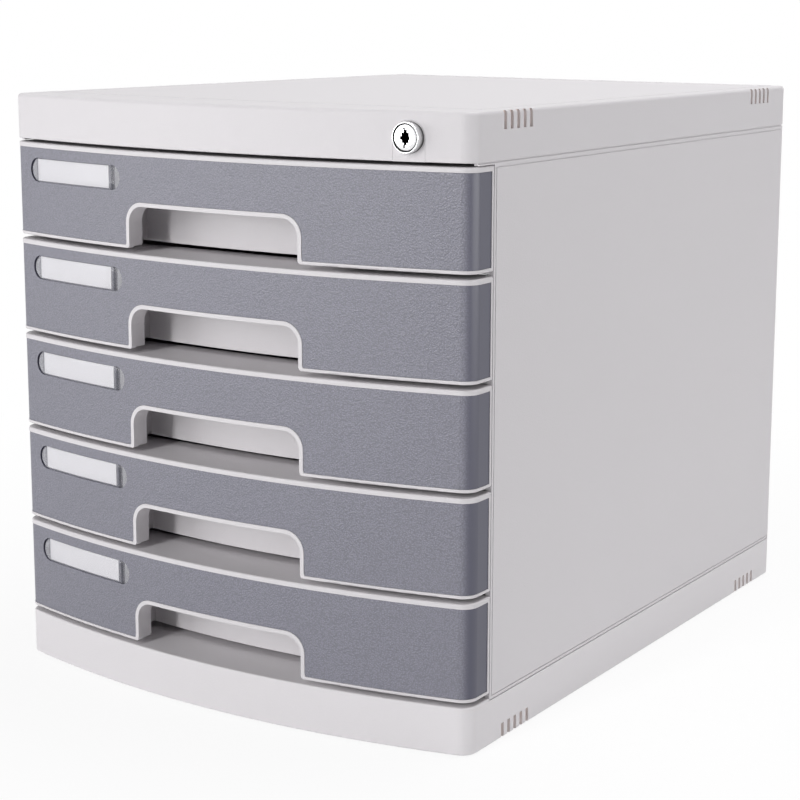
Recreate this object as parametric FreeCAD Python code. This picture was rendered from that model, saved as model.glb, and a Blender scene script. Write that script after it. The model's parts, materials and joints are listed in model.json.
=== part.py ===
import FreeCAD, Part
import math
import os

# Desktop file drawer: five shallow drawers for A4 paper behind a bowed front, in a cabinet of
# moulded plastic with a cam lock in its cover. Millimetres; +Z is up and -Y is the front.
# The origin is the centre of the bounding box's underside.

V = FreeCAD.Vector

# ---------------------------------------------------------------- driving dimensions
# Cabinet
width = 262.0
depth = 351.0
bow = 17.0
front_corner_radius = 7.5
rear_corner_radius = 6.0
foot_proud = 0.8
base_height = 22.0
cover_height = 21.7
cover_gap = 1.6
shell_wall = 2.5
moulded_edge_radius = 0.8
slide_clearance = 0.2
part_clearance = 0.1
sharpest_corner = 0.5

# Cutting shapes run this far beyond what they cut
beyond = 1.0

# Drawers
drawer_count = 5
drawer_front_height = 45.1
drawer_gap = 2.2
drawer_travel = 200.0
front_skin = 3.6
front_wrap = 15.8
front_depth = 26.0
ledge_thickness = 2.0
bottom_return = 8.0
web_thickness = 2.0

# Coloured facia let into each drawer front
facia_thickness = 1.8
facia_sunk = 0.25
facia_top_border = 2.4
facia_bottom_border = 1.7
facia_end_border = 1.5
facia_corner_radius = 1.5

# Finger pull in each drawer front
pull_width = 100.0
pull_height = 21.8
pull_center_x = 2.0
pull_corner_radius = 10.0
pull_rim = 2.0
pull_rim_depth = 9.0
pull_room = 12.0

# Label holder in each facia
label_length = 66.5
label_height = 11.4
label_from_side = 12.75
label_below_top = 13.0
label_window_thickness = 0.9
label_floor = 0.5
card_length = 53.5
card_from_label_end = 4.6
card_height = 10.4
card_thickness = 0.3

# Paper tray of each drawer
tray_wall = 1.8
tray_floor = 1.6
tray_height = 38.8
tray_lift = 0.3
tray_side_room = 11.2
tray_rear_room = 8.7
runner_flange_width = 4.8
runner_flange_thickness = 2.0

# Side panels and back panel
panel_thickness = 2.6
panel_front_gap = 0.5
panel_seat = 1.2
panel_return = 13.0
panel_line_below_cover = 2.2
panel_line_above_base = 1.8
panel_line_from_front = 1.5
panel_line_width = 0.5
panel_line_depth = 0.4
seam_width = 0.6
seam_depth = 0.6
arm_setback = 4.0
arm_height = 1.2
rail_width = 8.0
rail_lip = 2.0
rail_root = 5.0
rail_front_setback = 14.0
rail_rear_setback = 5.5
stop_length = 4.0
stop_height = 3.4
stop_play = 0.5
tongue_thickness = 2.3
tongue_above = 6.0
tongue_below = 8.0
tongue_front_setback = 45.0
tongue_rear_setback = 25.0
back_lap = 6.0
back_lap_thickness = 2.2

# Cover
cover_edge_radius = 1.8
cover_bottom_edge_radius = 0.5
bead_height = 0.3
bead_width = 2.4
bead_slope = 0.5
bead_from_front = 29.0
bead_front_bow = 5.5
bead_from_side = 7.0
bead_from_rear = 12.0
bead_rear_bow = 7.0

# Vents: short grooves in the sides of the cover and of the base
vent_count = 5
vent_pitch = 5.5
vent_width = 2.4
vent_depth = 1.5
cover_vent_from_front = 36.0
base_vent_from_front = 39.0
vent_from_rear = 38.0
cover_vent_length = 8.3
cover_vent_top_gap = 0.3
base_vent_length = 7.0

# Ribs, feet and screws under the base
deck_thickness = 2.5
rib_thickness = 2.0
rib_height = 9.0
rib_spacing = 75.0
rib_end_room = 46.0
foot_diameter = 16.0
foot_thickness = 2.3
foot_boss_diameter = 20.0
foot_inset_x = 24.0
foot_inset_front = 45.0
foot_inset_rear = 24.0
screw_diameter = 3.0
screw_head_diameter = 6.0
screw_head_height = 2.2
screw_length = 13.0
screw_slot = 0.8
screw_hole_clearance = 0.05
screw_boss_width = 6.8
screw_boss_height = 14.0
screw_inset_front = 75.0
screw_inset_rear = 35.0

# Cam lock in the cover's front
lock_from_side = 28.4
lock_above_cover_bottom = 10.2
lock_proud = 3.0
lock_rim_diameter = 13.4
lock_barrel_diameter = 11.0
lock_seat_depth = 1.4
lock_head_diameter = 12.2
lock_head_thickness = 1.4
lock_plug_diameter = 7.5
lock_running_clearance = 0.15
lock_end_clearance = 0.2
keyway_width = 1.6
keyway_height = 8.0
keyway_depth = 8.0
insert_width = 14.3
insert_thickness = 4.4
clip_outer_diameter = 14.0
clip_thickness = 1.5
clip_mouth = 9.0
cam_thickness = 2.0
cam_radius = 4.3
cam_throw = 3.0
cam_rest_angle = 45.0
cam_pin_diameter = 2.4
cam_pin_length = 5.5
cam_bar_gap = 1.2
cam_pin_wall = 1.0
cam_neck_diameter = 4.0
cam_screw_head_diameter = 3.4
cam_screw_head_height = 1.2
cam_screw_slot = 0.6

# Lock bar behind the drawer fronts, on the right
bar_thickness = 2.4
bar_leg_depth = 5.6
bar_arm_thickness = 1.8
bar_arm_height = 7.0
bar_panel_clearance = 0.8
bar_front_clearance = 2.0
bar_slot_clearance = 0.3
bar_to_tray_clearance = 0.6
peg_height = 2.5
peg_inset = 1.2
peg_raised_clearance = 0.9
catch_height = 4.0
catch_length = 3.0
guide_above_front = 10.0
guide_height = 10.0
guide_wall = 1.3
guide_clearance = 0.3
guide_drawers = (1, 3)

# ---------------------------------------------------------------- worked-out places
half_width = width / 2
front_y = -depth / 2
rear_y = depth / 2
bow_radius = (half_width ** 2 + bow ** 2) / (2 * bow)
bow_center_y = front_y + bow_radius
corner_y = front_y + bow

base_bottom = foot_proud
base_top = base_bottom + base_height
drawer_pitch = drawer_front_height + drawer_gap
first_front = base_top + drawer_gap
cover_bottom = first_front + drawer_count * drawer_pitch - drawer_gap + cover_gap
cover_top = cover_bottom + cover_height
lid_top = cover_top - bead_height
panel_bottom = base_top - panel_seat

wrap_end = corner_y + front_wrap
panel_front = wrap_end + panel_front_gap
panel_inner = half_width - panel_thickness

# The label, from the bottom of its drawer front at z = 0
label_center_x = label_from_side + label_length / 2 - half_width
label_center_z = drawer_front_height - label_below_top
label_pocket_depth = facia_sunk + facia_thickness - label_floor

# The tray, from the bottom of its drawer front at z = 0
tray_half_width = half_width - tray_side_room
tray_rear = rear_y - tray_rear_room
tray_top = tray_lift + tray_height
runner_bottom = tray_top - runner_flange_thickness
rail_top = runner_bottom - slide_clearance
rail_front = panel_front + rail_front_setback
rail_rear = rear_y - rail_rear_setback
stop_front = rail_front
stop_rear = stop_front + stop_length
stop_bottom = tray_top + 2 * slide_clearance
runner_outer = tray_half_width + runner_flange_width

# The lock bar; its heights start at the bottom of a drawer front at z = 0
bar_outer = panel_inner - bar_panel_clearance
bar_inner = bar_outer - bar_thickness
bar_front = wrap_end + bar_front_clearance
bar_rear = bar_front + bar_leg_depth
peg_inner = tray_half_width + peg_inset
catch_front = bar_rear + bar_to_tray_clearance
catch_top = tray_top + catch_height
peg_bottom = catch_top + peg_raised_clearance

# The lock
lock_x = half_width - lock_from_side
lock_z = cover_bottom + lock_above_cover_bottom
cam_rear = bar_front - cam_bar_gap - cam_screw_head_height
cam_front = cam_rear - cam_thickness
barrel_end = cam_front - lock_end_clearance
cam_angle = math.radians(cam_rest_angle)
cam_pin_x = lock_x + cam_throw * math.cos(cam_angle)
cam_pin_z = lock_z + cam_throw * math.sin(cam_angle)


# ---------------------------------------------------------------- helpers
def bow_y(x, inset):
    """Y of the bowed front at x, on the curve that lies this far inside it."""
    return bow_center_y - math.sqrt((bow_radius - inset) ** 2 - x ** 2)


def line(start, end):
    return Part.LineSegment(start, end).toShape()


def arc(start, middle, end):
    return Part.Arc(start, middle, end).toShape()


def box(x0, x1, y0, y1, z0, z1):
    return Part.makeBox(x1 - x0, y1 - y0, z1 - z0, V(x0, y0, z0))


def rod(x, z, y0, y1, diameter):
    """Cylinder along +Y."""
    return Part.makeCylinder(diameter / 2, y1 - y0, V(x, y0, z), V(0, 1, 0))


def fuse(shapes):
    joined = shapes[0].multiFuse(shapes[1:])
    return joined.removeSplitter()


def cut(shape, tools):
    return shape.cut(tools).removeSplitter()


def front_edges(inset):
    """The bowed front in plan, from its left end to its right end, this far inside the outer face."""
    x = half_width - inset
    radius = bow_radius - inset
    corner = front_corner_radius - inset
    apex = V(0, bow_center_y - radius, 0)
    if corner < sharpest_corner:
        y = bow_y(x, inset)
        return [arc(V(-x, y, 0), apex, V(x, y, 0))], y
    corner_x = half_width - front_corner_radius
    turn = math.asin(corner_x / (bow_radius - front_corner_radius))
    y = bow_center_y - (bow_radius - front_corner_radius) * math.cos(turn)
    meet = V(radius * math.sin(turn), bow_center_y - radius * math.cos(turn), 0)
    half = (turn + math.pi / 2) / 2
    middle = V(corner_x + corner * math.sin(half), y - corner * math.cos(half), 0)
    left_corner = arc(V(-x, y, 0), V(-middle.x, middle.y, 0), V(-meet.x, meet.y, 0))
    front = arc(V(-meet.x, meet.y, 0), apex, meet)
    right_corner = arc(meet, middle, V(x, y, 0))
    return [left_corner, front, right_corner], y


def front_face(inset, end_y):
    """Everything behind the bowed front, this far inside the outer face, as far back as end_y."""
    edges, side_y = front_edges(inset)
    x = half_width - inset
    edges.append(line(V(x, side_y, 0), V(x, end_y, 0)))
    edges.append(line(V(x, end_y, 0), V(-x, end_y, 0)))
    edges.append(line(V(-x, end_y, 0), V(-x, side_y, 0)))
    return Part.Face(Part.Wire(edges))


def whole_face(inset):
    """The cabinet's whole plan, this far inside the outer face."""
    edges, side_y = front_edges(inset)
    x = half_width - inset
    y = rear_y - inset
    radius = rear_corner_radius - inset
    reach = radius * math.sqrt(0.5)
    right = V(x - radius + reach, y - radius + reach, 0)
    edges.append(line(V(x, side_y, 0), V(x, y - radius, 0)))
    edges.append(arc(V(x, y - radius, 0), right, V(x - radius, y, 0)))
    edges.append(line(V(x - radius, y, 0), V(radius - x, y, 0)))
    edges.append(arc(V(radius - x, y, 0), V(-right.x, right.y, 0), V(-x, y - radius, 0)))
    edges.append(line(V(-x, y - radius, 0), V(-x, side_y, 0)))
    return Part.Face(Part.Wire(edges))


def prism(face, z0, z1):
    raised = face.copy()
    raised.translate(V(0, 0, z0))
    return raised.extrude(V(0, 0, z1 - z0))


def front_slab(outer_inset, inner_inset, end_y, z0, z1):
    """The part of the front between two insets: a bowed wall that wraps round both corners."""
    outer = prism(front_face(outer_inset, end_y), z0, z1)
    inner = prism(front_face(inner_inset, end_y + beyond), z0 - beyond, z1 + beyond)
    return outer.cut(inner)


def bow_band(outer_inset, inner_inset, reach, z0, z1):
    """A bowed strip between two insets of the front, as far as reach to each side."""
    outer = bow_y(reach, outer_inset)
    inner = bow_y(reach, inner_inset)
    edges = [
        arc(V(-reach, outer, 0), V(0, bow_y(0, outer_inset), 0), V(reach, outer, 0)),
        line(V(reach, outer, 0), V(reach, inner, 0)),
        arc(V(reach, inner, 0), V(0, bow_y(0, inner_inset), 0), V(-reach, inner, 0)),
        line(V(-reach, inner, 0), V(-reach, outer, 0)),
    ]
    return prism(Part.Face(Part.Wire(edges)), z0, z1)


def tray_face(inset, front_inset, rear_inset):
    """Plan of a tray: its front follows the bow and its other sides are straight."""
    x = tray_half_width - inset
    y = tray_rear - rear_inset
    front = bow_y(x, front_inset)
    apex = V(0, bow_y(0, front_inset), 0)
    edges = [
        arc(V(-x, front, 0), apex, V(x, front, 0)),
        line(V(x, front, 0), V(x, y, 0)),
        line(V(x, y, 0), V(-x, y, 0)),
        line(V(-x, y, 0), V(-x, front, 0)),
    ]
    return Part.Face(Part.Wire(edges))


def edges_at(shape, z):
    """The outline edges that lie flat at this height."""
    return [e for e in shape.Edges if abs(e.BoundBox.ZMin - z) < 0.001 and abs(e.BoundBox.ZMax - z) < 0.001]


def along_y(edges, y0, y1):
    """Extrude an outline drawn in the XZ plane from y0 to y1."""
    face = Part.Face(Part.Wire(edges))
    face.translate(V(0, y0, 0))
    return face.extrude(V(0, y1 - y0, 0))


def obround(center_x, center_z, length, height, y0, y1):
    """A slot shape with round ends, standing in the XZ plane."""
    end = height / 2
    reach = length / 2 - end
    left = center_x - reach
    right = center_x + reach
    edges = [
        line(V(left, 0, center_z + end), V(right, 0, center_z + end)),
        arc(V(right, 0, center_z + end), V(right + end, 0, center_z), V(right, 0, center_z - end)),
        line(V(right, 0, center_z - end), V(left, 0, center_z - end)),
        arc(V(left, 0, center_z - end), V(left - end, 0, center_z), V(left, 0, center_z + end)),
    ]
    return along_y(edges, y0, y1)


def pull_shape(grow, foot_radius, y1):
    """The finger pull's opening, grown by this much, flaring out at its foot, back to y1."""
    left = pull_center_x - pull_width / 2 - grow
    right = pull_center_x + pull_width / 2 + grow
    top = pull_height + grow
    radius = pull_corner_radius + grow
    reach = radius * (1 - math.sqrt(0.5))
    foot = foot_radius * (1 - math.sqrt(0.5))
    below = -beyond
    foot_left = V(left - foot_radius, 0, 0)
    foot_right = V(right + foot_radius, 0, 0)
    start = V(left, 0, foot_radius)
    end = V(right, 0, foot_radius)
    edges = [
        line(start, V(left, 0, top - radius)),
        arc(V(left, 0, top - radius), V(left + reach, 0, top - reach), V(left + radius, 0, top)),
        line(V(left + radius, 0, top), V(right - radius, 0, top)),
        arc(V(right - radius, 0, top), V(right - reach, 0, top - reach), V(right, 0, top - radius)),
        line(V(right, 0, top - radius), end),
    ]
    if foot_radius > 0:
        edges.append(arc(end, V(right + foot, 0, foot), foot_right))
    edges.append(line(foot_right, V(foot_right.x, 0, below)))
    edges.append(line(V(foot_right.x, 0, below), V(foot_left.x, 0, below)))
    edges.append(line(V(foot_left.x, 0, below), foot_left))
    if foot_radius > 0:
        edges.append(arc(foot_left, V(left - foot, 0, foot), start))
    return along_y(edges, front_y - beyond, y1)


def mirrored(shape):
    return shape.mirror(V(0, 0, 0), V(1, 0, 0))


def rounded(shape, radius, edges):
    return shape.makeFillet(radius, edges)


# ---------------------------------------------------------------- one drawer, its front's bottom at z = 0
def facia_outline(inset_out, inset_in, clearance):
    """The facia's slab: coloured skin or, with clearance, the pocket that takes it."""
    bottom = facia_bottom_border - clearance
    top = drawer_front_height - facia_top_border + clearance
    end = wrap_end - facia_end_border + clearance
    slab = front_slab(inset_out, inset_in, end, bottom, top)
    return cut(slab, [pull_shape(-clearance, facia_corner_radius + facia_bottom_border, wrap_end)])


def label_hole(clearance):
    length = label_length + 2 * clearance
    height = label_height + 2 * clearance
    return obround(label_center_x, label_center_z, length, height, front_y - beyond, corner_y)


def facia():
    """Coloured skin, with a blind pocket that takes the label card and its window."""
    slab = facia_outline(facia_sunk, facia_sunk + facia_thickness, 0.0)
    behind_label = prism(front_face(label_pocket_depth, corner_y), 0, drawer_front_height)
    return cut(slab, [label_hole(part_clearance).cut(behind_label)])


def label_card():
    back = label_pocket_depth
    slab = front_slab(back - card_thickness, back, wrap_end, 0, drawer_front_height)
    left = label_center_x - label_length / 2 + card_from_label_end
    half_height = card_height / 2
    frame = box(left, left + card_length, front_y, corner_y,
                label_center_z - half_height, label_center_z + half_height)
    return slab.common(frame)


def label_window():
    back = label_pocket_depth - card_thickness
    slab = front_slab(back - label_window_thickness, back, wrap_end, 0, drawer_front_height)
    return slab.common(label_hole(0.0))


def bezel():
    """White moulded drawer front: skin, side wraps, top ledge, bottom return, pull rim and webs."""
    height = drawer_front_height
    block = prism(front_face(0, wrap_end), 0, height)
    round_edges = [e for e in edges_at(block, 0) + edges_at(block, height)
                   if e.BoundBox.YMin < corner_y + front_wrap / 2]
    block = rounded(block, moulded_edge_radius, round_edges)
    hollow = prism(front_face(front_skin, wrap_end + beyond), -beyond, height - ledge_thickness)
    skin = block.cut(hollow)
    room = half_width - pull_room
    root = front_skin / 2
    under_ledge = height - ledge_thickness
    ledge = bow_band(root, front_depth, room, under_ledge, height - moulded_edge_radius)
    ledge_cap = bow_band(front_skin, front_depth, room, under_ledge, height)
    floor = bow_band(root, bottom_return, room, moulded_edge_radius, ledge_thickness)
    rim = bow_band(root, pull_rim_depth, room, moulded_edge_radius, under_ledge)
    rim = rim.common(pull_shape(0.0, 0.0, 0))
    solids = [skin, ledge, ledge_cap, floor, rim]
    for x in web_places():
        web = bow_band(root, front_depth, room, moulded_edge_radius, height - ledge_thickness / 2)
        solids.append(web.common(box(x - web_thickness / 2, x + web_thickness / 2, front_y, 0, 0, height)))
    body = fuse(solids)
    pocket = facia_outline(-beyond, facia_sunk + facia_thickness, part_clearance)
    opening = pull_shape(-pull_rim, pull_rim, 0)
    return cut(body, [pocket, opening])


def web_places():
    """Upright webs join the skin to the tray: one beside each end of the pull, one near each end."""
    beside = pull_width / 2 + pull_room
    outer = half_width - 2 * pull_room
    return [-outer, pull_center_x - beside, pull_center_x + beside, outer]


def tray():
    """Paper tray: open box with a bowed front, a runner flange along each side and its stops."""
    shell = prism(tray_face(0, front_depth, 0), tray_lift, tray_top)
    hollow_plan = tray_face(tray_wall, front_depth + tray_wall, tray_wall)
    inside = prism(hollow_plan, tray_lift + tray_floor, tray_top + beyond)
    solids = [shell.cut(inside)]
    inner = tray_half_width - tray_wall / 2
    stop_y = stop_rear + drawer_travel + stop_play
    side = [
        box(inner, runner_outer, catch_front, tray_rear, runner_bottom, tray_top),
        box(peg_inner, runner_outer, catch_front, catch_front + catch_length, runner_bottom, catch_top),
        box(peg_inner, runner_outer, stop_y, stop_y + stop_length, runner_bottom, tray_top + stop_height),
    ]
    solids += side
    solids += [mirrored(s) for s in side]
    return fuse(solids)


# ---------------------------------------------------------------- cabinet
def vents(from_front, z0, z1):
    """Grooves for one height band, on both sides, near both ends."""
    grooves = []
    for center in (corner_y + from_front, rear_y - vent_from_rear):
        for index in range(vent_count):
            y = center + (index - (vent_count - 1) / 2) * vent_pitch
            groove = box(half_width - vent_depth, half_width + beyond,
                         y - vent_width / 2, y + vent_width / 2, z0, z1)
            grooves += [groove, mirrored(groove)]
    return grooves


def foot_places():
    x = half_width - foot_inset_x
    front = front_y + foot_inset_front
    rear = rear_y - foot_inset_rear
    return [(side * x, y) for side in (-1, 1) for y in (front, rear)]


def screw_places():
    x = panel_inner - screw_boss_width / 2
    front = front_y + screw_inset_front
    rear = rear_y - screw_inset_rear
    return [(side * x, y) for side in (-1, 1) for y in (front, rear)]


def base():
    """Plinth: a deck with a skirt all round, ribs, foot bosses, screw holes and vents."""
    block = prism(whole_face(0), base_bottom, base_top)
    block = rounded(block, moulded_edge_radius, edges_at(block, base_bottom) + edges_at(block, base_top))
    deck_bottom = base_top - deck_thickness
    hollow = prism(whole_face(shell_wall), base_bottom - beyond, deck_bottom)
    solids = [block.cut(hollow)]
    room = prism(whole_face(shell_wall / 2), deck_bottom - rib_height, base_top - deck_thickness / 2)
    cross = int((depth - 2 * rib_end_room) // rib_spacing)
    for index in range(cross + 1):
        y = front_y + rib_end_room + index * rib_spacing
        rib = box(-half_width, half_width, y, y + rib_thickness, base_bottom, base_top)
        solids.append(rib.common(room))
    for x in (-rib_spacing, 0.0, rib_spacing):
        rib = box(x - rib_thickness / 2, x + rib_thickness / 2, front_y, rear_y, base_bottom, base_top)
        solids.append(rib.common(room))
    for x, y in foot_places():
        boss = Part.makeCylinder(foot_boss_diameter / 2, base_top - foot_thickness - deck_thickness / 2,
                                 V(x, y, foot_thickness))
        solids.append(boss)
    body = fuse(solids)
    seat_inner = panel_inner - part_clearance
    seat_front = panel_front - part_clearance
    seat_side = box(seat_inner, half_width + beyond, seat_front, rear_y + beyond,
                    panel_bottom, base_top + beyond)
    back_seat = rear_y - rear_corner_radius - part_clearance
    seat_rear = box(-half_width, half_width, back_seat, rear_y + beyond, panel_bottom, base_top + beyond)
    tools = [seat_side, mirrored(seat_side), seat_rear]
    tools += vents(base_vent_from_front, base_bottom - beyond, base_bottom + base_vent_length)
    hole = screw_diameter / 2 + 2 * part_clearance
    for x, y in screw_places():
        tools.append(Part.makeCylinder(hole, base_height, V(x, y, base_bottom)))
    return cut(body, tools)


def rubber_feet():
    feet = [Part.makeCylinder(foot_diameter / 2, foot_thickness, V(x, y, 0)) for x, y in foot_places()]
    return Part.makeCompound([rounded(f, foot_proud / 2, edges_at(f, 0)) for f in feet])


def base_screws():
    """Four screws from below the deck into the side panels' bosses."""
    top = base_top - deck_thickness
    screws = []
    for x, y in screw_places():
        under = V(x, y, top - screw_head_height)
        head = Part.makeCylinder(screw_head_diameter / 2, screw_head_height, under)
        shank = Part.makeCylinder(screw_diameter / 2, screw_length, V(x, y, top - screw_head_height / 2))
        recess = Part.makeCylinder(screw_diameter / 2, screw_head_height / 2, under)
        half_slot = screw_slot / 2
        across = box(x - screw_diameter, x + screw_diameter, y - half_slot, y + half_slot, 0, base_top)
        slot = recess.common(across)
        screws.append(fuse([head, shank]).cut(slot))
    return Part.makeCompound(screws)


def rail(z):
    """Runner rail with a tapered root; the section is drawn at y = 0 and drawn out along the panel."""
    inner = panel_inner - rail_width
    outer = panel_inner + panel_thickness / 2
    points = [
        V(outer, 0, z),
        V(inner, 0, z),
        V(inner, 0, z - rail_lip),
        V(outer, 0, z - rail_root),
        V(outer, 0, z),
    ]
    return along_y([line(a, b) for a, b in zip(points, points[1:])], rail_front, rail_rear)


def skin_groove(z0, z1, groove_depth):
    """Groove of this depth all round the cabinet's outer skin, between two heights."""
    kept = prism(whole_face(groove_depth), z0 - beyond, z1 + beyond)
    return prism(whole_face(-beyond), z0, z1).cut(kept)


def seams():
    """Shadow lines along the top and the bottom of the side and back panels."""
    return [
        skin_groove(panel_bottom - beyond, panel_bottom + seam_width, seam_depth),
        skin_groove(cover_bottom - seam_width, cover_bottom + beyond, seam_depth),
    ]


def panel_lines():
    """Fine framing line inside the edges of the right-hand side panel."""
    top = cover_bottom - panel_line_below_cover
    bottom = base_top + panel_line_above_base - panel_seat
    front = panel_front + panel_line_from_front
    framed = box(0, half_width + beyond, front, rear_y + beyond, bottom, top)
    upright = box(half_width - panel_line_depth, half_width + beyond,
                  front, front + panel_line_width, bottom, top)
    level = [
        skin_groove(top - panel_line_width, top, panel_line_depth),
        skin_groove(bottom, bottom + panel_line_width, panel_line_depth),
    ]
    return [groove.common(framed) for groove in level] + [upright]


def side_panel():
    """Right-hand side panel: outer skin, arm over the top drawer, rear return, rails, stops and tongue."""
    outline = prism(whole_face(0), panel_bottom, cover_bottom)
    inside = prism(whole_face(panel_thickness), panel_bottom - beyond, cover_bottom + beyond)
    outside = half_width + beyond
    behind = rear_y + beyond
    keep_side = box(panel_inner - beyond, outside, panel_front, behind, panel_bottom, cover_bottom)
    keep_rear = box(half_width - panel_return, outside, rear_y - 2 * rear_corner_radius, behind,
                    panel_bottom, cover_bottom)
    arm_front = corner_y + arm_setback
    keep_arm = box(panel_inner, outside, arm_front, panel_front + beyond,
                   cover_bottom - arm_height, cover_bottom)
    wall = outline.cut(inside)
    solids = [wall.common(keep_side), wall.common(keep_arm), wall.common(keep_rear)]
    into_wall = panel_inner + panel_thickness / 2
    for index in range(drawer_count):
        z = first_front + index * drawer_pitch
        solids.append(rail(z + rail_top))
        stop_top = z + stop_bottom + stop_height
        solids.append(box(peg_inner, into_wall, stop_front, stop_rear, z + stop_bottom, stop_top))
        end = tray_rear + slide_clearance
        solids.append(box(panel_inner - rail_width, into_wall, end, rail_rear,
                          z + rail_top - rail_lip, stop_top))
    tongue_y0 = front_y + tongue_front_setback
    tongue_y1 = rear_y - tongue_rear_setback
    tongue_outer = half_width - shell_wall - slide_clearance
    tongue_inner = tongue_outer - tongue_thickness
    solids.append(box(tongue_inner, tongue_outer, tongue_y0, tongue_y1, cover_bottom - tongue_below,
                      cover_bottom + tongue_above))
    solids.append(box(tongue_inner, into_wall, tongue_y0, tongue_y1,
                      cover_bottom - tongue_below, cover_bottom))
    for x, y in screw_places():
        if x > 0:
            solids.append(box(x - screw_boss_width / 2, into_wall, y - screw_boss_width / 2,
                              y + screw_boss_width / 2, base_top, base_top + screw_boss_height))
    body = fuse(solids)
    hole = screw_diameter / 2 + screw_hole_clearance
    below = base_top - beyond
    tools = [Part.makeCylinder(hole, screw_length, V(x, y, below)) for x, y in screw_places() if x > 0]
    return cut(body, tools + seams() + panel_lines())


def back_panel():
    outer = half_width - panel_return - part_clearance
    lap_rear = rear_y - panel_thickness
    plate = box(-outer, outer, lap_rear - back_lap_thickness / 2, rear_y, panel_bottom, cover_bottom)
    lap_x = outer + back_lap
    lap = box(-lap_x, lap_x, lap_rear - back_lap_thickness, lap_rear, panel_bottom, cover_bottom)
    return cut(fuse([plate, lap]), seams())


def top_cover():
    """Lid: a top framed by a low bead, a skirt, vents and the lock's U-shaped slot."""
    block = prism(whole_face(0), cover_bottom, lid_top)
    block = rounded(block, cover_edge_radius, edges_at(block, lid_top))
    block = rounded(block, cover_bottom_edge_radius, edges_at(block, cover_bottom))
    hollow = prism(whole_face(shell_wall), cover_bottom - beyond, lid_top - shell_wall)
    slot = lock_slot(part_clearance, front_y - beyond, corner_y)
    tools = [hollow, slot]
    tools += vents(cover_vent_from_front, lid_top - cover_vent_length, lid_top - cover_vent_top_gap)
    return cut(fuse([block, frame_bead()]), tools)


def bead_wire(inset, z):
    """Outline at this height, this far inside the bead's outer foot."""
    x = half_width - bead_from_side - inset
    front_apex = front_y + bead_from_front + inset
    front = front_apex + bead_front_bow
    rear_apex = rear_y - bead_from_rear - inset
    rear = rear_apex + bead_rear_bow
    return Part.Wire([
        arc(V(-x, front, z), V(0, front_apex, z), V(x, front, z)),
        line(V(x, front, z), V(x, rear, z)),
        arc(V(x, rear, z), V(0, rear_apex, z), V(-x, rear, z)),
        line(V(-x, rear, z), V(-x, front, z)),
    ])


def frame_bead():
    """Low bead with sloping sides that frames the lid; it starts inside the lid's top."""
    low = lid_top - bead_height
    outer_wires = [bead_wire(-bead_slope, low), bead_wire(bead_slope, cover_top)]
    inner_wires = [bead_wire(bead_width + bead_slope, low), bead_wire(bead_width - bead_slope, cover_top)]
    return Part.makeLoft(outer_wires, True, True).cut(Part.makeLoft(inner_wires, True, True))


# ---------------------------------------------------------------- cam lock
def lock_face_y():
    return bow_y(lock_x, 0) - lock_proud


def lock_seat_y():
    return bow_y(lock_x, 0) + lock_seat_depth


def lock_slot(clearance, y0, y1):
    """U-shaped opening from the cover's lower edge up round the lock."""
    radius = insert_width / 2 + clearance
    left = lock_x - radius
    right = lock_x + radius
    bottom = cover_bottom - beyond
    edges = [
        line(V(left, 0, bottom), V(left, 0, lock_z)),
        arc(V(left, 0, lock_z), V(lock_x, 0, lock_z + radius), V(right, 0, lock_z)),
        line(V(right, 0, lock_z), V(right, 0, bottom)),
        line(V(right, 0, bottom), V(left, 0, bottom)),
    ]
    return along_y(edges, y0, y1)


def insert_back_y():
    return bow_y(lock_x, 0) + insert_thickness


def lock_insert():
    """Filler that closes the slot below the lock and seats its barrel."""
    filler = lock_slot(0.0, front_y - beyond, insert_back_y())
    filler = filler.common(prism(front_face(0, 0), cover_bottom, cover_top))
    seat = rod(lock_x, lock_z, front_y - beyond, lock_seat_y(), lock_rim_diameter + 2 * part_clearance)
    hole = rod(lock_x, lock_z, front_y - beyond, 0, lock_barrel_diameter + 2 * part_clearance)
    return cut(filler, [seat, hole])


def lock_housing():
    face_y = lock_face_y()
    rim = rod(lock_x, lock_z, face_y, lock_seat_y(), lock_rim_diameter)
    front_edge = [e for e in rim.Edges if abs(e.BoundBox.YMax - face_y) < 0.001]
    rim = rounded(rim, lock_head_thickness / 4, front_edge)
    barrel = rod(lock_x, lock_z, face_y + lock_head_thickness, barrel_end, lock_barrel_diameter)
    head_room = rod(lock_x, lock_z, face_y - beyond, face_y + lock_head_thickness + lock_end_clearance,
                    lock_head_diameter + 2 * lock_running_clearance)
    bore = rod(lock_x, lock_z, face_y - beyond, 0, lock_plug_diameter + 2 * lock_running_clearance)
    return cut(fuse([rim, barrel]), [head_room, bore])


def lock_clip():
    """Spring clip that holds the barrel against the filler from inside."""
    start = insert_back_y()
    end = start + clip_thickness
    half_mouth = clip_mouth / 2
    ring = rod(lock_x, lock_z, start, end, clip_outer_diameter)
    hole = rod(lock_x, lock_z, start - beyond, end + beyond, lock_barrel_diameter + 2 * part_clearance)
    mouth = box(lock_x - half_mouth, lock_x + half_mouth, start - beyond, end + beyond,
                lock_z - clip_outer_diameter, lock_z)
    return cut(ring, [hole, mouth])


def lock_plug():
    face_y = lock_face_y()
    head = rod(lock_x, lock_z, face_y, face_y + lock_head_thickness, lock_head_diameter)
    core = rod(lock_x, lock_z, face_y, cam_front, lock_plug_diameter)
    neck = rod(lock_x, lock_z, face_y, cam_rear, cam_neck_diameter)
    half_key = keyway_width / 2
    half_height = keyway_height / 2
    keyway = box(lock_x - half_key, lock_x + half_key, face_y - beyond, face_y + keyway_depth,
                 lock_z - half_height, lock_z + half_height)
    return cut(fuse([head, core, neck]), [keyway])


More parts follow.
